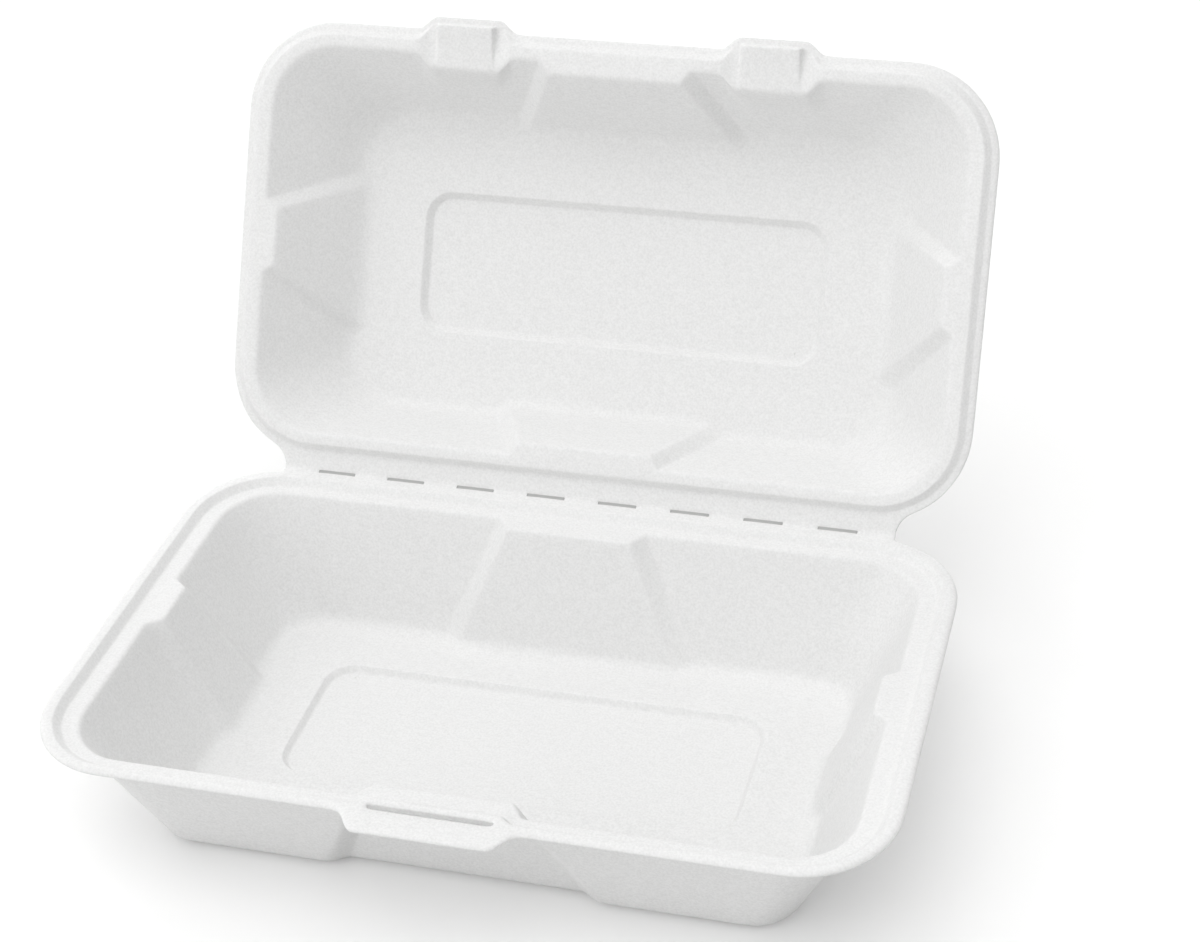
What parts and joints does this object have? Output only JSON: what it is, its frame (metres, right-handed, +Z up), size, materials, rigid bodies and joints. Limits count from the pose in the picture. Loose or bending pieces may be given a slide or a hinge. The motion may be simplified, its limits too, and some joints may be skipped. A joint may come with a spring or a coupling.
{
  "type": "bagasse meal box",
  "caption": "Moulded pulp clamshell meal box: a deep tray and a shallow lid on a perforated crease, with a front tongue, wedge pads and pushed-in wall panels.",
  "frame": {"origin": "middle of the tray's underside, on the table", "axes": "+X along the crease, +Y from the front tongue to the crease, +Z up"},
  "size_m": [0.232, 0.2191, 0.1591],
  "materials": {
    "pulp": "matte pressed bagasse pulp with a fine fibre grain"
  },
  "bodies": {
    "tray": {"tray": "pulp"},
    "lid": {"lid": "pulp"}
  },
  "joints": [
    {"name": "lid_hinge", "type": "hinge", "parent": "tray", "child": "lid", "pos_m": [0, 0.06925, 0.03965], "axis": [1, 0, 0], "range_deg": [-60, 118.7]}
  ]
}
